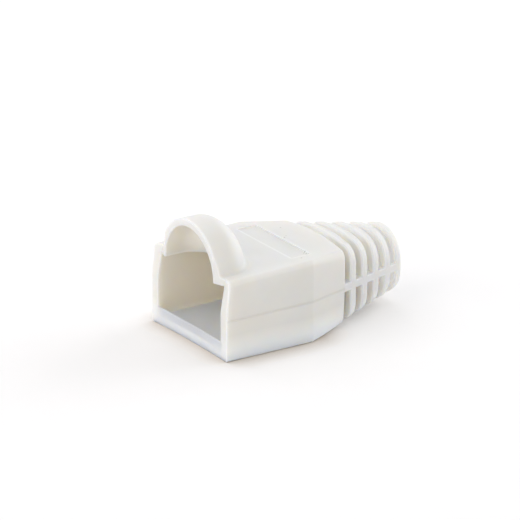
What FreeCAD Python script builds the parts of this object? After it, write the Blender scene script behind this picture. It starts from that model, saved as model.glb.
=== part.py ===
import FreeCAD, Part
import math
import os

# Strain relief boot for an eight-way modular plug on round network cable, moulded as one soft piece.
# Frame: +X runs from the plug mouth to the cable end, +Z is up, the origin lies under the middle of the
# boot on its bottom face. While it is being built the mouth stands at X = 0; the last step centres it.

# Body around the plug
BODY_WIDTH = 14.0
SIDE_WALL = 1.15
FLOOR_WALL = 1.0
ROOF_WALL = 0.72
PLUG_HEIGHT = 6.65
PLUG_DEPTH = 10.0
STRAIGHT_LENGTH = 10.3
BODY_LENGTH = 15.0
ROOF_RISE = 0.45
ROOF_CROWN = 0.38
BELLY_LIFT = 0.28
REAR_HALF_WIDTH = 5.7
REAR_DRAFT = 0.052
FRONT_TOP_RADIUS = 0.5
REAR_TOP_RADIUS = 1.0
FRONT_BOTTOM_RADIUS = 0.25
REAR_BOTTOM_RADIUS = 1.0
REAR_EDGE_RADIUS = 0.2
PARTING_HEIGHT = 4.33
PARTING_GROOVE_DEPTH = 0.03
PARTING_GROOVE_WIDTH = 0.26

# Lead-in between the plug pocket and the cable bore
FUNNEL_END = 13.8
FUNNEL_LEDGE = 0.2

# Mouth
LIP_HEIGHT = 1.8
LIP_THICKNESS = 0.35
LIP_BOW = 0.22
LEAN_START = 5.0
OUTER_LEAN = 0.10
INNER_LEAN = 0.17

# Hood over the plug's latch
HOOD_INNER_RADIUS = 4.5
HOOD_WALL = 0.75
HOOD_STRAIGHT = 2.0
HOOD_NOSE = 3.0
HOOD_NOSE_WALL = 0.3
HOOD_FOOT_RADIUS = 0.45

# Shallow panel in the roof
PANEL_START = 8.95
PANEL_LENGTH = 2.22
PANEL_WIDTH = 10.0
PANEL_DEPTH = 0.16

# Ribbed tail
SLOT_COUNT = 5
SLOT_WIDTH = 0.85
RIB_WIDTH = 0.85
SPINE_HEIGHT = 0.8
COLLAR_WIDTH = 6.4
COLLAR_HEIGHT = 7.0
COLLAR_LIFT = 0.9
COLLAR_CORNER_RADIUS = 3.1
RIB_TOP_RADIUS = 1.4
RIB_BOTTOM_RADIUS = 1.6
RIB_EDGE = 0.13
CABLE_RADIUS = 2.75
SLEEVE_WALL_FRONT = 1.2
SLEEVE_WALL_REAR = 0.35

# Values that follow from the ones above
HALF_WIDTH = BODY_WIDTH / 2
POCKET_HALF_WIDTH = HALF_WIDTH - SIDE_WALL
CEILING = FLOOR_WALL + PLUG_HEIGHT
ROOF_FRONT = CEILING + ROOF_WALL
ROOF_REAR = ROOF_FRONT + ROOF_RISE
RIB_PITCH = SLOT_WIDTH + RIB_WIDTH
TAIL_LENGTH = SLOT_COUNT * RIB_PITCH
OVERALL = BODY_LENGTH + TAIL_LENGTH
TAIL_START = BODY_LENGTH - REAR_EDGE_RADIUS
BORE_HEIGHT = COLLAR_LIFT + COLLAR_HEIGHT / 2
HOOD_OUTER_RADIUS = HOOD_INNER_RADIUS + HOOD_WALL
CLEAR = 3.0


def point(x, y, z):
    """Return a vector."""
    return FreeCAD.Vector(x, y, z)


def block(x0, x1, half_width, z0, z1):
    """Return a box that is symmetric about the middle plane."""
    return Part.makeBox(x1 - x0, 2 * half_width, z1 - z0, point(x0, -half_width, z0))


def polygon(points):
    """Return a closed straight-sided wire."""
    return Part.makePolygon(points + points[:1])


def roof_height(x):
    """Height of the roof's middle line."""
    return ROOF_FRONT + ROOF_RISE * x / BODY_LENGTH


def closed_section(corners, crest):
    """Closed outline that is symmetric about the middle plane.

    corners holds the +Y side from the bottom up: three points of the lower corner arc, any points on the
    flank, and three points of the upper corner arc. crest is the middle of the top.
    """
    mirrored = [point(p.x, -p.y, p.z) for p in corners]
    if crest.z - corners[-1].z < 1e-6:
        top = Part.LineSegment(corners[-1], mirrored[-1])
    else:
        top = Part.Arc(corners[-1], crest, mirrored[-1])
    edges = [Part.LineSegment(mirrored[0], corners[0]), *side_edges(corners), top, *side_edges(mirrored)]
    return Part.Wire(Part.sortEdges([edge.toShape() for edge in edges])[0])


def side_edges(points):
    """Lower corner arc, straight runs and upper corner arc of one side."""
    runs = [Part.LineSegment(a, b) for a, b in zip(points[2:-3], points[3:-2])]
    return [Part.Arc(*points[:3]), *runs, Part.Arc(*points[-3:])]


def lower_corner(x, half, bottom, radius):
    """Start, middle and end of the arc at the lower corner."""
    cut = radius * (1 - math.sqrt(0.5))
    return [
        point(x, half - radius, bottom),
        point(x, half - cut, bottom + cut),
        point(x, half, bottom + radius),
    ]


def upper_corner(x, half, top, radius):
    """Start, middle and end of the arc at the upper corner."""
    cut = radius * (1 - math.sqrt(0.5))
    return [
        point(x, half, top - radius),
        point(x, half - cut, top - cut),
        point(x, half - radius, top),
    ]


def body_section(x, share, inset=0):
    """Cross-section of the body at x; share runs from 0 at the straight part to 1 at the rear face."""
    half = HALF_WIDTH + (REAR_HALF_WIDTH - HALF_WIDTH) * share - inset
    bottom = BELLY_LIFT * share ** 2 + inset
    top = roof_height(x) - inset
    r_top = FRONT_TOP_RADIUS + (REAR_TOP_RADIUS - FRONT_TOP_RADIUS) * share - inset
    r_low = FRONT_BOTTOM_RADIUS + (REAR_BOTTOM_RADIUS - FRONT_BOTTOM_RADIUS) * share - inset
    foot = half - REAR_DRAFT * share * (PARTING_HEIGHT - bottom)
    groove = [
        point(x, half, PARTING_HEIGHT - PARTING_GROOVE_WIDTH / 2),
        point(x, half - PARTING_GROOVE_DEPTH, PARTING_HEIGHT),
        point(x, half, PARTING_HEIGHT + PARTING_GROOVE_WIDTH / 2),
    ]
    shoulder = top - ROOF_CROWN * share
    corners = lower_corner(x, foot, bottom, r_low) + groove + upper_corner(x, half, shoulder, r_top)
    return closed_section(corners, point(x, 0, top))


def body():
    """Outer form of the body: straight at the mouth, then narrowing, with a lifted belly and a soft rear edge."""
    sections = [body_section(0, 0)]
    for share in [0, 0.4, 0.7, 1]:
        sections.append(body_section(STRAIGHT_LENGTH + (TAIL_START - STRAIGHT_LENGTH) * share, share))
    for turn in [30, 60, 90]:
        along = REAR_EDGE_RADIUS * math.sin(math.radians(turn))
        inset = REAR_EDGE_RADIUS * (1 - math.cos(math.radians(turn)))
        sections.append(body_section(TAIL_START + along, 1, inset))
    return Part.makeLoft(sections, True, True)


def tail_section(x, inset=0):
    """Cross-section of the tail at x: like the body's rear face in front, almost round at the collar."""
    share = (x - TAIL_START) / (OVERALL - TAIL_START)
    half = REAR_HALF_WIDTH + (COLLAR_WIDTH / 2 - REAR_HALF_WIDTH) * share - inset
    bottom = BELLY_LIFT + (COLLAR_LIFT - BELLY_LIFT) * share + inset
    top = ROOF_REAR + (COLLAR_LIFT + COLLAR_HEIGHT - ROOF_REAR) * share - inset
    r_top = RIB_TOP_RADIUS + (COLLAR_CORNER_RADIUS - RIB_TOP_RADIUS) * share - inset
    r_low = RIB_BOTTOM_RADIUS + (COLLAR_CORNER_RADIUS - RIB_BOTTOM_RADIUS) * share - inset
    shoulder = top - ROOF_CROWN * (1 - share)
    corners = lower_corner(x, half, bottom, r_low) + upper_corner(x, half, shoulder, r_top)
    return closed_section(corners, point(x, 0, top))


def rib(index):
    """One cross rib with broken edges; the last one is the collar."""
    start = BODY_LENGTH + index * RIB_PITCH + SLOT_WIDTH
    end = start + RIB_WIDTH
    sections = [
        tail_section(start, RIB_EDGE),
        tail_section(start + RIB_EDGE, 0),
        tail_section(end - RIB_EDGE, 0),
        tail_section(end, RIB_EDGE),
    ]
    return Part.makeLoft(sections, True, True)


def spines():
    """Bars along both sides of the tail that join the ribs to the body."""
    full = Part.makeLoft([tail_section(TAIL_START), tail_section(OVERALL - RIB_EDGE)], True, True)
    bottom = BORE_HEIGHT - SPINE_HEIGHT / 2
    return full.common(block(TAIL_START, OVERALL, BODY_WIDTH, bottom, bottom + SPINE_HEIGHT))


def sleeve():
    """Tapering tube that carries the ribs."""
    front = CABLE_RADIUS + SLEEVE_WALL_FRONT
    rear = CABLE_RADIUS + SLEEVE_WALL_REAR
    start = point(BODY_LENGTH, 0, BORE_HEIGHT)
    return Part.makeCone(front, rear, TAIL_LENGTH, start, point(1, 0, 0))


def tail():
    """Ribs, collar, side spines and the tube inside them."""
    return spines().fuse([rib(i) for i in range(SLOT_COUNT)] + [sleeve()])


def bullet(radius, nose):
    """Solid of revolution along X: a straight barrel that closes in a quarter ellipse."""
    base = point(0, 0, CEILING)
    rim = point(0, 0, CEILING + radius)
    tip = point(HOOD_STRAIGHT + nose, 0, CEILING)
    steps = 5
    arc = []
    for i in range(steps):
        angle = math.pi / 2 * i / steps
        arc.append(point(HOOD_STRAIGHT + nose * math.sin(angle), 0, CEILING + radius * math.cos(angle)))
    curve = Part.BSplineCurve()
    curve.interpolate(arc + [tip], InitialTangent=point(1, 0, 0), FinalTangent=point(0, 0, -1))
    edges = [
        Part.LineSegment(base, rim).toShape(),
        Part.LineSegment(rim, arc[0]).toShape(),
        curve.toShape(),
        Part.LineSegment(tip, base).toShape(),
    ]
    return Part.Face(Part.Wire(edges)).revolve(base, point(1, 0, 0), 360)


def roof_slab():
    """Piece of the roof that the hood stands on."""
    half = HALF_WIDTH - FRONT_TOP_RADIUS
    end = HOOD_STRAIGHT + HOOD_NOSE + HOOD_NOSE_WALL + 3 * HOOD_FOOT_RADIUS
    outline = polygon([
        point(0, -half, CEILING),
        point(end, -half, CEILING),
        point(end, -half, roof_height(end)),
        point(0, -half, ROOF_FRONT),
    ])
    return Part.Face(outline).extrude(point(0, 2 * half, 0))


def hood_outside():
    """Outer form of the latch hood with its rounded foot, standing on the roof."""
    above = block(-CLEAR, STRAIGHT_LENGTH, BODY_WIDTH, CEILING, CEILING + 2 * HOOD_OUTER_RADIUS)
    shape = bullet(HOOD_OUTER_RADIUS, HOOD_NOSE + HOOD_NOSE_WALL).common(above).fuse(roof_slab())
    return shape.makeFillet(HOOD_FOOT_RADIUS, [edge for edge in shape.Edges if is_hood_foot(edge)])


def is_hood_foot(edge):
    """Whether an edge lies where the hood meets the roof."""
    box = edge.BoundBox
    on_roof = box.ZMin > ROOF_FRONT - 0.01 and box.ZMax < ROOF_REAR
    reach = HALF_WIDTH - FRONT_TOP_RADIUS - 0.1
    return on_roof and box.YMax < reach and box.YMin > -reach and box.XLength > 1


def hood_inside():
    """Space under the hood, cut through the roof into the plug pocket."""
    above = block(-CLEAR, STRAIGHT_LENGTH, BODY_WIDTH, CEILING - 0.5, CEILING + 2 * HOOD_OUTER_RADIUS)
    return bullet(HOOD_INNER_RADIUS, HOOD_NOSE).common(above)


def plug_pocket():
    """Space for the plug: a box whose floor lies lower than the lip at the mouth."""
    box = block(LIP_THICKNESS, PLUG_DEPTH, POCKET_HALF_WIDTH, FLOOR_WALL, CEILING)
    opening = block(-CLEAR, LIP_THICKNESS, POCKET_HALF_WIDTH, LIP_HEIGHT, CEILING)
    return box.fuse(opening)


def rectangle(x, half_width, bottom, top):
    """Upright rectangle in the plane at x."""
    return polygon([
        point(x, -half_width, bottom),
        point(x, half_width, bottom),
        point(x, half_width, top),
        point(x, -half_width, top),
    ])


def funnel():
    """Lead-in from the plug pocket down to the cable bore."""
    reach = CABLE_RADIUS + FUNNEL_LEDGE
    wide = rectangle(PLUG_DEPTH, POCKET_HALF_WIDTH, FLOOR_WALL, CEILING)
    narrow = rectangle(FUNNEL_END, reach, BORE_HEIGHT - reach, BORE_HEIGHT + reach)
    return Part.makeLoft([wide, narrow], True, True)


def cable_bore():
    """Round passage for the cable through the tail."""
    return Part.makeCylinder(CABLE_RADIUS, OVERALL, point(FUNNEL_END, 0, BORE_HEIGHT), point(1, 0, 0))


def lip_bow():
    """Slight hollow across the front of the lip, seen from above."""
    radius = (HALF_WIDTH ** 2 + LIP_BOW ** 2) / (2 * LIP_BOW)
    centre = point(LIP_BOW - radius, 0, -CLEAR)
    return Part.makeCylinder(radius, CLEAR + LIP_HEIGHT, centre, point(0, 0, 1))


def lean_profile(y, slope):
    """Profile of the wedge that leans the mouth back above its parting line."""
    top = ROOF_REAR + CLEAR
    return polygon([
        point(-CLEAR, y, LEAN_START),
        point(0, y, LEAN_START),
        point(slope * (top - LEAN_START), y, top),
        point(-CLEAR, y, top),
    ])


def mouth_lean(side):
    """Wedge taken off one side wall of the mouth; it fades out under the foot of the hood."""
    profiles = [
        lean_profile(side * (HALF_WIDTH + CLEAR), OUTER_LEAN),
        lean_profile(side * HALF_WIDTH, OUTER_LEAN),
        lean_profile(side * POCKET_HALF_WIDTH, INNER_LEAN),
        lean_profile(side * HOOD_INNER_RADIUS, 0),
    ]
    return Part.makeLoft(profiles, True, True)


def roof_panel():
    """Shallow rectangular panel sunk in the roof."""
    end = PANEL_START + PANEL_LENGTH
    outline = polygon([
        point(PANEL_START, -PANEL_WIDTH / 2, roof_height(PANEL_START) - PANEL_DEPTH),
        point(end, -PANEL_WIDTH / 2, roof_height(end) - PANEL_DEPTH),
        point(end, -PANEL_WIDTH / 2, ROOF_REAR + CLEAR),
        point(PANEL_START, -PANEL_WIDTH / 2, ROOF_REAR + CLEAR),
    ])
    return Part.Face(outline).extrude(point(0, PANEL_WIDTH, 0))


def boot():
    """The whole boot, centred on the origin."""
    outside = body().fuse([hood_outside(), tail()])
    spaces = [plug_pocket(), funnel(), cable_bore(), hood_inside()]
    trims = [lip_bow(), mouth_lean(1), mouth_lean(-1), roof_panel()]
    shape = outside.cut(spaces + trims).removeSplitter()
    shape.translate(point(-OVERALL / 2, 0, 0))
    return shape


os.makedirs("parts", exist_ok=True)
boot().exportStep("parts/boot.step")
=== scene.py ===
"""Looks of a strain relief boot for a modular network plug: one soft pale moulding on a pale table.

The boot is one CAD solid and keeps its shape. This script gives it the finish of a soft, slightly
translucent moulding, with painted light and painted shade in its colour, and sets it on a plain table,
which has a painted shadow round the boot's foot, under even studio light.
"""

import logging
import math
from dataclasses import dataclass, field
from enum import Enum

import bpy
from mathutils import Matrix, Vector


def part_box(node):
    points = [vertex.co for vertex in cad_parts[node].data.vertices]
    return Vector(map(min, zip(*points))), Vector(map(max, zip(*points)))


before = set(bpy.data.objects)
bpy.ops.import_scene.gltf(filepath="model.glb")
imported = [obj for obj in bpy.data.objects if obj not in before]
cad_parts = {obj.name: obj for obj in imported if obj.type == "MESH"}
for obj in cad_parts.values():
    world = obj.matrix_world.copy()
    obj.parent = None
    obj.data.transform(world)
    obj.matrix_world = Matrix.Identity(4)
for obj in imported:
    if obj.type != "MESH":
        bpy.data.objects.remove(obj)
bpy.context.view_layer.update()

logging.basicConfig(level=logging.INFO, format="%(message)s")
LOG = logging.getLogger("boot")

MM = 0.001

# Shares of free rays between which a mask fades: in a narrow gap, on an outer edge and at the foot.
GAP_RANGE = (0.35, 0.85)
EDGE_RANGE = (0.55, 0.95)
FOOT_RANGE = (0.45, 0.95)

# Rays that each mask on the boot and on the table sends out.
SKIN_SAMPLES = 6
TABLE_SAMPLES = 12

# Parts of a noise that are spread to a full mask: the boot's clouds and grain, the table's mottle.
NOISE_RANGE = (0.3, 0.7)
MOTTLE_RANGE = (0.35, 0.65)

# Share of a speck's radius that is fully dark.
SPECK_CORE = 0.4

# Half widths of the core and of the fade of the painted shade line along the parting line.
PARTING_BAND = (0.06 * MM, 0.22 * MM)

# Product of a place's Y and its normal's Y at which a face starts to count as a side, and fully does.
SIDE_RANGE = (0.5 * MM, 2.0 * MM)

# Share of the inward walls' painted shade that the outward sides take.
SIDE_SHARE = 0.4

# Height up to which the painted light, standing in for the pale table shining through, is full.
FULL_BASE = 1.1 * MM

Colour = tuple[float, float, float, float]

WHITE: Colour = (1.0, 1.0, 1.0, 1.0)


class Side(Enum):
    """Places round the boot where a lamp stands."""

    MOUTH = "mouth"
    HIGH = "high"
    TAIL = "tail"
    BACK = "back"


def look_back(azimuth: float, elevation: float) -> Vector:
    """Unit vector from the boot towards a viewer or a lamp.

    Args:
        azimuth: Degrees round +Z; 0 looks along +Y and 90 looks along -X.
        elevation: Degrees above the table.

    Returns:
        The vector (sin a cos e, -cos a cos e, sin e).
    """
    a = math.radians(azimuth)
    e = math.radians(elevation)
    return Vector((math.sin(a) * math.cos(e), -math.cos(a) * math.cos(e), math.sin(e)))


@dataclass(frozen=True)
class Graph:
    """Adds nodes to one tree and joins them."""

    tree: bpy.types.NodeTree

    def add(self, kind: str, **values: object) -> bpy.types.Node:
        """Add one node.

        Args:
            kind: Blender's identifier of the node.
            values: Attributes of the node to set, such as operation.

        Returns:
            The new node.
        """
        node = self.tree.nodes.new(kind)
        for name, value in values.items():
            setattr(node, name, value)
        return node

    def join(self, source: bpy.types.NodeSocket, target: bpy.types.NodeSocket) -> None:
        """Link an output socket to an input socket."""
        self.tree.links.new(source, target)

    def noise(self, vector: bpy.types.NodeSocket, scale: float, detail: float) -> bpy.types.NodeSocket:
        """Add a noise texture.

        Args:
            vector: Coordinates that the noise reads.
            scale: Waves per metre.
            detail: Octaves of finer noise.

        Returns:
            The noise's value socket.
        """
        node = self.add("ShaderNodeTexNoise")
        node.inputs["Scale"].default_value = scale
        node.inputs["Detail"].default_value = detail
        self.join(vector, node.inputs["Vector"])
        return node.outputs["Fac"]

    def spread(
        self, source: bpy.types.NodeSocket, low: float, high: float, start: float, end: float
    ) -> bpy.types.NodeSocket:
        """Map low..high of a value to start..end, clamped.

        Args:
            source: The value.
            low: Value that becomes start.
            high: Value that becomes end.
            start: First end of the new range.
            end: Other end of the new range.

        Returns:
            The mapped value's socket.
        """
        node = self.add("ShaderNodeMapRange")
        for name, value in (("From Min", low), ("From Max", high), ("To Min", start), ("To Max", end)):
            node.inputs[name].default_value = value
        self.join(source, node.inputs["Value"])
        return node.outputs["Result"]

    def math(
        self,
        operation: str,
        first: bpy.types.NodeSocket,
        second: bpy.types.NodeSocket | float | None = None,
    ) -> bpy.types.NodeSocket:
        """Add a math node.

        Args:
            operation: Blender's name of the operation.
            first: First operand.
            second: Second operand, a socket or a number, or nothing where one operand is enough.

        Returns:
            The result's socket.
        """
        node = self.add("ShaderNodeMath", operation=operation)
        self.join(first, node.inputs[0])
        if isinstance(second, bpy.types.NodeSocket):
            self.join(second, node.inputs[1])
        elif second is not None:
            node.inputs[1].default_value = second
        return node.outputs[0]

    def tint(
        self, mask: bpy.types.NodeSocket, under: bpy.types.NodeSocket | Colour, over: Colour
    ) -> bpy.types.NodeSocket:
        """Mix a colour over another by a mask.

        Args:
            mask: 0 keeps the colour under, 1 shows the colour over.
            under: Colour under the mask, a socket or a fixed colour.
            over: Fixed colour over it.

        Returns:
            The mixed colour's socket.
        """
        node = self.add("ShaderNodeMix", data_type="RGBA")
        colours = [item for item in node.inputs if item.type == "RGBA"]
        if isinstance(under, bpy.types.NodeSocket):
            self.join(under, colours[0])
        else:
            colours[0].default_value = under
        colours[1].default_value = over
        self.join(mask, node.inputs[0])
        return [item for item in node.outputs if item.type == "RGBA"][0]


def new_group(
    name: str, inputs: dict[str, float], outputs: dict[str, str]
) -> tuple[Graph, bpy.types.bpy_prop_collection, bpy.types.bpy_prop_collection]:
    """Start a shader node group.

    Args:
        name: Name of the group.
        inputs: Default value of each float input.
        outputs: Socket type of each output.

    Returns:
        The group's graph, its inner input sockets and its inner output sockets, both by name.
    """
    tree = bpy.data.node_groups.new(name, "ShaderNodeTree")
    for label, value in inputs.items():
        given = tree.interface.new_socket(label, in_out="INPUT", socket_type="NodeSocketFloat")
        given.default_value = value
    for label, kind in outputs.items():
        tree.interface.new_socket(label, in_out="OUTPUT", socket_type=kind)
    graph = Graph(tree)
    inside = graph.add("NodeGroupInput")
    outside = graph.add("NodeGroupOutput")
    return graph, inside.outputs, outside.inputs


def cloudiness_group() -> bpy.types.NodeTree:
    """Build the group of slow colour clouds and fine grain in a moulded skin.

    Returns:
        A group with inputs Cloud Scale and Grain Scale, in waves per metre, and outputs Cloud and Grain.
    """
    graph, given, made = new_group(
        "cloudiness",
        {"Cloud Scale": 250.0, "Grain Scale": 6000.0},
        {"Cloud": "NodeSocketFloat", "Grain": "NodeSocketFloat"},
    )
    place = graph.add("ShaderNodeTexCoord").outputs["Object"]
    for label, detail in (("Cloud", 3.0), ("Grain", 2.0)):
        noise = graph.add("ShaderNodeTexNoise")
        noise.inputs["Detail"].default_value = detail
        graph.join(place, noise.inputs["Vector"])
        graph.join(given[f"{label} Scale"], noise.inputs["Scale"])
        graph.join(noise.outputs["Fac"], made[label])
    return graph.tree


def soft_edge_group(reach: float, gap: float, radius: float) -> bpy.types.NodeTree:
    """Build the group that finds the outer edges and the narrow gaps of a moulding.

    Args:
        reach: Width of an edge, in metres.
        gap: Distance within which facing walls make a narrow gap, in metres.
        radius: Radius to which the edges look rounded, in metres.

    Returns:
        A group with the outputs Edge, 1 on outer edges and 0 on faces, the mask of a painted highlight,
        Gap,
        1 deep in a narrow gap, the mask of painted light that stands in for light through its thin
        walls, and
        Normal, rounded at edges.
    """
    graph, _, made = new_group(
        "soft_edge",
        {},
        {"Edge": "NodeSocketFloat", "Gap": "NodeSocketFloat", "Normal": "NodeSocketVector"},
    )
    narrow = graph.add("ShaderNodeAmbientOcclusion", samples=SKIN_SAMPLES, only_local=True)
    narrow.inputs["Distance"].default_value = gap
    graph.join(graph.spread(narrow.outputs["AO"], *GAP_RANGE, 1.0, 0.0), made["Gap"])
    thin = graph.add("ShaderNodeAmbientOcclusion", samples=SKIN_SAMPLES, inside=True, only_local=True)
    thin.inputs["Distance"].default_value = reach
    rounding = graph.add("ShaderNodeBevel", samples=SKIN_SAMPLES)
    rounding.inputs["Radius"].default_value = radius
    graph.join(graph.spread(thin.outputs["AO"], *EDGE_RANGE, 1.0, 0.0), made["Edge"])
    graph.join(rounding.outputs["Normal"], made["Normal"])
    return graph.tree


@dataclass(frozen=True)
class Speck:
    """One grain of dust on the roof, at x, y with a radius, all in millimetres."""

    x: float
    y: float
    radius: float


def dust_group(specks: tuple[Speck, ...], roof: float) -> bpy.types.NodeTree:
    """Build the group of dust specks that lie on the roof.

    Each speck is 1 in its core, round its own point on the roof, and fades to 0 at its radius.

    Args:
        specks: The grains.
        roof: Height above which dust lies, in metres.

    Returns:
        A group with the output Dust.
    """
    graph, _, made = new_group("dust_specks", {}, {"Dust": "NodeSocketFloat"})
    place = graph.add("ShaderNodeTexCoord").outputs["Object"]
    axes = graph.add("ShaderNodeSeparateXYZ")
    graph.join(place, axes.inputs[0])
    flat = graph.add("ShaderNodeCombineXYZ")
    graph.join(axes.outputs["X"], flat.inputs["X"])
    graph.join(axes.outputs["Y"], flat.inputs["Y"])
    total: bpy.types.NodeSocket | None = None
    for speck in specks:
        gap = graph.add("ShaderNodeVectorMath", operation="DISTANCE")
        graph.join(flat.outputs[0], gap.inputs[0])
        gap.inputs[1].default_value = (speck.x * MM, speck.y * MM, 0.0)
        core = speck.radius * SPECK_CORE * MM
        mask = graph.spread(gap.outputs["Value"], core, speck.radius * MM, 1.0, 0.0)
        total = mask if total is None else graph.math("MAXIMUM", total, mask)
    on_roof = graph.math("GREATER_THAN", axes.outputs["Z"], roof)
    graph.join(graph.math("MULTIPLY", total, on_roof), made["Dust"])
    return graph.tree


def painted_light_and_shade_group(parting: float, tail: float, base: float) -> bpy.types.NodeTree:
    """Build the group of painted light and painted shade masks that follow places on the moulding.

    A face looks outward where the product of its place Y and its normal's Y is above zero, and inward
    where it is below. Parting, the mask of a painted shade line, is 1 within a narrow band round the
    height of the parting line, on outward sides of the body. Base, the mask of painted light that stands
    in for the pale table shining through, is 1 up to FULL_BASE, falls evenly to 0 at the height base and
    stays 0 on inward walls. Wall, the mask of painted shade, is 1 on inward walls and SIDE_SHARE on
    outward sides of the body.

    Args:
        parting: Height of the parting line, in metres.
        tail: X at which the parting line ends, in metres.
        base: Height at which the painted light from the table below ends, in metres.

    Returns:
        A group with the outputs Parting, Base and Wall.
    """
    graph, _, made = new_group(
        "painted_light_and_shade",
        {},
        {"Parting": "NodeSocketFloat", "Base": "NodeSocketFloat", "Wall": "NodeSocketFloat"},
    )
    place = graph.add("ShaderNodeSeparateXYZ")
    facing = graph.add("ShaderNodeSeparateXYZ")
    graph.join(graph.add("ShaderNodeTexCoord").outputs["Object"], place.inputs[0])
    graph.join(graph.add("ShaderNodeTexCoord").outputs["Normal"], facing.inputs[0])
    turned = graph.math("MULTIPLY", place.outputs["Y"], facing.outputs["Y"])
    body = graph.math("LESS_THAN", place.outputs["X"], tail)
    outward = graph.math("MULTIPLY", graph.spread(turned, *SIDE_RANGE, 0.0, 1.0), body)
    inward = graph.spread(turned, -SIDE_RANGE[1], -SIDE_RANGE[0], 1.0, 0.0)
    side = graph.math("MULTIPLY", outward, SIDE_SHARE)
    graph.join(graph.math("MAXIMUM", inward, side), made["Wall"])
    height = graph.math("ABSOLUTE", graph.math("SUBTRACT", place.outputs["Z"], parting))
    line = graph.spread(height, *PARTING_BAND, 1.0, 0.0)
    graph.join(graph.math("MULTIPLY", line, outward), made["Parting"])
    low = graph.spread(place.outputs["Z"], FULL_BASE, base, 1.0, 0.0)
    not_wall = graph.spread(inward, 0.0, 1.0, 1.0, 0.0)
    graph.join(graph.math("MULTIPLY", low, not_wall), made["Base"])
    return graph.tree


@dataclass(frozen=True)
class Tint:
    """A colour and the share of it that a full mask shows."""

    colour: Colour
    share: float

    def over(
        self, graph: Graph, mask: bpy.types.NodeSocket, under: bpy.types.NodeSocket
    ) -> bpy.types.NodeSocket:
        """Mix this tint over a colour by a mask.

        Args:
            graph: Graph of the material.
            mask: 0 keeps the colour under, 1 shows this tint's share.
            under: Colour under the mask.

        Returns:
            The mixed colour's socket.
        """
        return graph.tint(graph.math("MULTIPLY", mask, self.share), under, self.colour)


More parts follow.
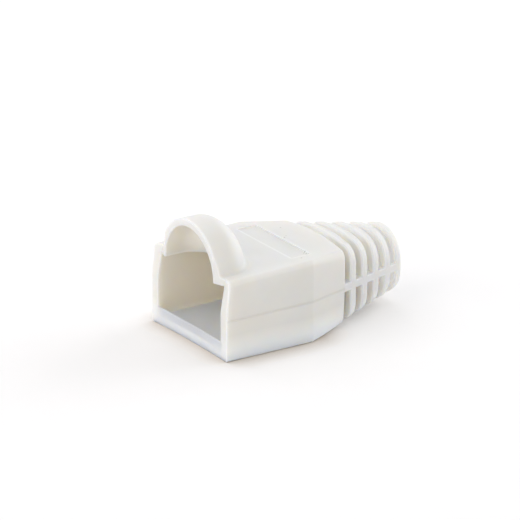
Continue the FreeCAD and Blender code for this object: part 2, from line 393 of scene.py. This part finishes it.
@dataclass(frozen=True)
class MouldedPlastic:
    """Pale, translucent soft plastic with a satin moulded skin, and painted light and painted shade in
    its colour.
    """

    pale: Colour = (0.83, 0.82, 0.79, 1.0)
    deep: Colour = (0.795, 0.785, 0.753, 1.0)
    # Colour of the painted light low on the boot and deep in narrow gaps.
    painted_light: Colour = (0.98, 0.955, 0.895, 1.0)
    # Painted shade on inward walls and, more weakly, on the body's outward sides.
    painted_wall_shade: Tint = Tint((0.70, 0.685, 0.645, 1.0), 0.45)
    # Painted shade line along the parting line.
    parting: Tint = Tint((0.60, 0.59, 0.56, 1.0), 0.33)
    # Painted highlight along outer edges.
    edge: Tint = Tint((0.96, 0.957, 0.94, 1.0), 0.9)
    dust: Tint = Tint((0.30, 0.28, 0.25, 1.0), 0.6)
    roughness: tuple[float, float] = (0.41, 0.53)
    refraction: float = 1.46
    glow: float = 0.9
    glow_colour: tuple[float, float, float] = (1.0, 0.8, 0.55)
    glow_depth: float = 2.6 * MM
    edge_reach: float = 0.28 * MM
    gap_reach: float = 0.896 * MM
    edge_radius: float = 0.084 * MM
    grain_share: float = 0.25
    relief: float = 0.35
    relief_height: float = 0.03 * MM
    parting_height: float = 4.33 * MM
    body_end: float = 3.2 * MM
    # Height at which the painted light low on the boot ends.
    painted_light_height: float = 2.8 * MM
    dust_height: float = 8.0 * MM
    specks: tuple[Speck, ...] = (
        Speck(-0.23, 0.19, 0.11),
        Speck(0.14, 0.47, 0.08),
        Speck(-0.62, -4.07, 0.10),
        Speck(-0.71, -4.56, 0.14),
        Speck(-0.86, -4.30, 0.08),
        Speck(-1.94, -5.52, 0.10),
        Speck(1.02, 2.83, 0.10),
    )

    def material(self) -> bpy.types.Material:
        """Build the material.

        Returns:
            The finished material.
        """
        made = bpy.data.materials.new("moulded_plastic")
        made.use_nodes = True
        graph = Graph(made.node_tree)
        shader = made.node_tree.nodes["Principled BSDF"]
        cloud = graph.add("ShaderNodeGroup", node_tree=cloudiness_group())
        edges = soft_edge_group(self.edge_reach, self.gap_reach, self.edge_radius)
        soft = graph.add("ShaderNodeGroup", node_tree=edges)
        specks = dust_group(self.specks, self.dust_height)
        dust = graph.add("ShaderNodeGroup", node_tree=specks)
        painted_light_tree = painted_light_and_shade_group(self.parting_height, self.body_end, self.painted_light_height)
        painted_light_masks = graph.add("ShaderNodeGroup", node_tree=painted_light_tree)
        clouds = graph.spread(cloud.outputs["Cloud"], *NOISE_RANGE, 0.0, 1.0)
        base = graph.tint(clouds, self.deep, self.pale)
        # Painted shade on inward walls and on the body's sides.
        base = self.painted_wall_shade.over(graph, painted_light_masks.outputs["Wall"], base)
        # Painted light low on the boot and deep in narrow gaps.
        painted_light = graph.math("MAXIMUM", painted_light_masks.outputs["Base"], soft.outputs["Gap"])
        base = graph.tint(painted_light, base, self.painted_light)
        # Painted shade line along the parting line.
        base = self.parting.over(graph, painted_light_masks.outputs["Parting"], base)
        # Painted highlight along outer edges.
        base = self.edge.over(graph, soft.outputs["Edge"], base)
        base = self.dust.over(graph, dust.outputs["Dust"], base)
        graph.join(base, shader.inputs["Base Color"])
        rough = graph.spread(cloud.outputs["Grain"], *NOISE_RANGE, *self.roughness)
        graph.join(rough, shader.inputs["Roughness"])
        graph.join(self.skin(graph, cloud, soft), shader.inputs["Normal"])
        shader.inputs["IOR"].default_value = self.refraction
        shader.inputs["Subsurface Weight"].default_value = self.glow
        shader.inputs["Subsurface Radius"].default_value = self.glow_colour
        shader.inputs["Subsurface Scale"].default_value = self.glow_depth
        return made

    def skin(
        self, graph: Graph, cloud: bpy.types.Node, soft: bpy.types.Node
    ) -> bpy.types.NodeSocket:
        """Join the skin's relief: height = grain_share * Grain + Cloud, on rounded edges.

        Args:
            graph: Graph of the material.
            cloud: The cloudiness group's node.
            soft: The soft edge group's node.

        Returns:
            The normal's socket.
        """
        grain = graph.math("MULTIPLY", cloud.outputs["Grain"], self.grain_share)
        bump = graph.add("ShaderNodeBump")
        bump.inputs["Strength"].default_value = self.relief
        bump.inputs["Distance"].default_value = self.relief_height
        graph.join(graph.math("ADD", grain, cloud.outputs["Cloud"]), bump.inputs["Height"])
        graph.join(soft.outputs["Normal"], bump.inputs["Normal"])
        return bump.outputs["Normal"]


@dataclass(frozen=True)
class TableTop:
    """Matt pale table that is white to the camera, keeps the boot's shadow and has a painted shadow
    round the boot's foot.
    """

    colour: Colour = (0.93, 0.925, 0.92, 1.0)
    fleck: Colour = (0.95, 0.94, 0.935, 1.0)
    # Colour of the painted shadow round the boot's foot.
    painted_contact_shadow: Colour = (0.62, 0.56, 0.50, 1.0)
    lift: float = 0.13
    shade_reach: float = 3.6 * MM
    shade_end: float = 4.0 * MM
    mottle_scale: float = 160.0
    mottle_detail: float = 4.0
    roughness: tuple[float, float] = (0.75, 0.9)
    gloss: float = 0.2

    def material(self) -> bpy.types.Material:
        """Build the material.

        Returns:
            The finished material.
        """
        made = bpy.data.materials.new("table_top")
        made.use_nodes = True
        graph = Graph(made.node_tree)
        shader = made.node_tree.nodes["Principled BSDF"]
        place = graph.add("ShaderNodeTexCoord").outputs["Object"]
        noise = graph.noise(place, self.mottle_scale, self.mottle_detail)
        mottle = graph.spread(noise, *MOTTLE_RANGE, 0.0, 1.0)
        # Painted shadow: darker near the boot's foot, seen by the camera only, fading out along X.
        near = graph.add("ShaderNodeAmbientOcclusion", samples=TABLE_SAMPLES)
        near.inputs["Distance"].default_value = self.shade_reach
        open_sky = graph.spread(near.outputs["AO"], *FOOT_RANGE, 0.0, 1.0)
        seen = graph.add("ShaderNodeLightPath").outputs["Is Camera Ray"]
        axes = graph.add("ShaderNodeSeparateXYZ")
        graph.join(place, axes.inputs[0])
        along = graph.spread(axes.outputs["X"], 0.0, self.shade_end, 1.0, 0.0)
        shaded = graph.math("MULTIPLY", graph.spread(open_sky, 0.0, 1.0, 1.0, 0.0), seen)
        shaded = graph.math("MULTIPLY", shaded, along)
        base = graph.tint(mottle, self.colour, self.fleck)
        graph.join(graph.tint(shaded, base, self.painted_contact_shadow), shader.inputs["Base Color"])
        graph.join(graph.spread(mottle, 0.0, 1.0, *self.roughness), shader.inputs["Roughness"])
        # The white lift fades out under the painted shadow.
        lift = graph.spread(shaded, 0.0, 1.0, self.lift, 0.0)
        graph.join(graph.math("MULTIPLY", lift, seen), shader.inputs["Emission Strength"])
        shader.inputs["Emission Color"].default_value = WHITE
        shader.inputs["Specular IOR Level"].default_value = self.gloss
        return made


@dataclass
class Boot:
    """The moulding itself: the CAD solid with its finish."""

    node: str = "boot"
    finish: MouldedPlastic = field(default_factory=MouldedPlastic)

    def dress(self) -> bpy.types.Object:
        """Give the solid its material.

        Returns:
            The dressed object.
        """
        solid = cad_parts[self.node]
        solid.data.materials.clear()
        solid.data.materials.append(self.finish.material())
        name = solid.data.materials[0].name
        LOG.info("%s: %d faces, finish %s", self.node, len(solid.data.polygons), name)
        return solid


@dataclass
class Table:
    """Plain pale floor."""

    reach: float = 3.0
    clearance: float = 0.02 * MM
    finish: TableTop = field(default_factory=TableTop)

    def build(self) -> bpy.types.Object:
        """Build the floor just under the boot, so that no two faces share one plane.

        Returns:
            The floor object.
        """
        r = self.reach
        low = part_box("boot")[0].z - self.clearance
        mesh = bpy.data.meshes.new("table")
        mesh.from_pydata([(-r, -r, low), (r, -r, low), (r, r, low), (-r, r, low)], [], [(0, 1, 2, 3)])
        mesh.materials.append(self.finish.material())
        table = bpy.data.objects.new("table", mesh)
        bpy.context.scene.collection.objects.link(table)
        LOG.info("table: %.1f m across", 2 * r)
        return table


@dataclass(frozen=True)
class SoftBox:
    """One square area lamp that faces the boot."""

    side: Side
    azimuth: float
    elevation: float
    power: float
    colour: tuple[float, float, float]
    distance: float = 0.5
    size: float = 0.5

    def build(self, target: Vector) -> bpy.types.Object:
        """Place the lamp.

        Args:
            target: Point that the lamp faces.

        Returns:
            The lamp object.
        """
        back = look_back(self.azimuth, self.elevation)
        data = bpy.data.lights.new(f"soft_box_{self.side.value}", "AREA")
        data.shape = "SQUARE"
        data.size = self.size
        data.energy = self.power
        data.color = self.colour
        lamp = bpy.data.objects.new(data.name, data)
        lamp.location = target + back * self.distance
        lamp.rotation_mode = "QUATERNION"
        lamp.rotation_quaternion = back.to_track_quat("Z", "Y")
        bpy.context.scene.collection.objects.link(lamp)
        LOG.info("%s: %.2f W", data.name, self.power)
        return lamp


@dataclass
class Studio:
    """Even white surroundings with soft boxes at the boot's mouth, tail and back."""

    ambient: float = 0.62
    colour: Colour = (1.0, 1.0, 1.01, 1.0)
    lamps: tuple[SoftBox, ...] = (
        SoftBox(Side.MOUTH, -90.0, 10.0, 0.92, (1.06, 1.0, 0.95)),
        SoftBox(Side.HIGH, -90.0, 50.0, 0.22, (1.06, 1.0, 0.95)),
        SoftBox(Side.TAIL, 90.0, 12.0, 1.42, (0.98, 1.0, 1.04)),
        SoftBox(Side.BACK, 180.0, 40.0, 0.55, (1.0, 1.0, 1.05)),
    )

    def surroundings(self) -> None:
        """Make the world a soft light that looks white where it is seen.

        It is white to the camera, in reflections and through clear things.
        """
        world = bpy.data.worlds.new("surroundings")
        world.use_nodes = True
        bpy.context.scene.world = world
        graph = Graph(world.node_tree)
        world.node_tree.nodes.clear()
        path = graph.add("ShaderNodeLightPath")
        seen = graph.math("MAXIMUM", path.outputs["Is Camera Ray"], path.outputs["Is Glossy Ray"])
        seen = graph.math("MAXIMUM", seen, path.outputs["Is Transmission Ray"])
        light = graph.add("ShaderNodeBackground")
        light.inputs["Color"].default_value = self.colour
        light.inputs["Strength"].default_value = self.ambient
        backdrop = graph.add("ShaderNodeBackground")
        choice = graph.add("ShaderNodeMixShader")
        out = graph.add("ShaderNodeOutputWorld")
        backdrop.inputs["Color"].default_value = WHITE
        backdrop.inputs["Strength"].default_value = 1.0
        graph.join(seen, choice.inputs[0])
        graph.join(light.outputs[0], choice.inputs[1])
        graph.join(backdrop.outputs[0], choice.inputs[2])
        graph.join(choice.outputs[0], out.inputs["Surface"])

    def build(self) -> None:
        """Build the surroundings and every lamp."""
        self.surroundings()
        low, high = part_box("boot")
        for lamp in self.lamps:
            lamp.build((low + high) / 2)


@dataclass
class Viewpoint:
    """Long-lens camera that looks at the mouth from the front left."""

    azimuth: float = -32.97
    elevation: float = 20.611
    distance: float = 604.2 * MM
    lens: float = 415.38
    target: tuple[float, float, float] = (-1.75 * MM, 0.0, 5.0 * MM)
    slide: tuple[float, float] = (1.2916 * MM, -1.5492 * MM)
    sensor: float = 36.0
    clip: tuple[float, float] = (0.01, 20.0)

    def build(self) -> bpy.types.Object:
        """Place the camera.

        Returns:
            The camera object.
        """
        back = look_back(self.azimuth, self.elevation)
        right = Vector((0.0, 0.0, 1.0)).cross(back).normalized()
        up = back.cross(right)
        data = bpy.data.cameras.new("viewpoint")
        data.lens = self.lens
        data.sensor_width = self.sensor
        data.clip_start, data.clip_end = self.clip
        camera = bpy.data.objects.new("viewpoint", data)
        place = Vector(self.target) - right * self.slide[0] - up * self.slide[1] + back * self.distance
        camera.matrix_world = Matrix.Translation(place) @ Matrix((right, up, back)).transposed().to_4x4()
        bpy.context.scene.collection.objects.link(camera)
        bpy.context.scene.camera = camera
        LOG.info("camera: %.0f mm lens at %.0f mm", self.lens, self.distance / MM)
        return camera


def main() -> None:
    """Build the scene in order."""
    bpy.context.scene.view_settings.view_transform = "Standard"
    Boot().dress()
    Table().build()
    Studio().build()
    Viewpoint().build()


if __name__ == "__main__":
    main()
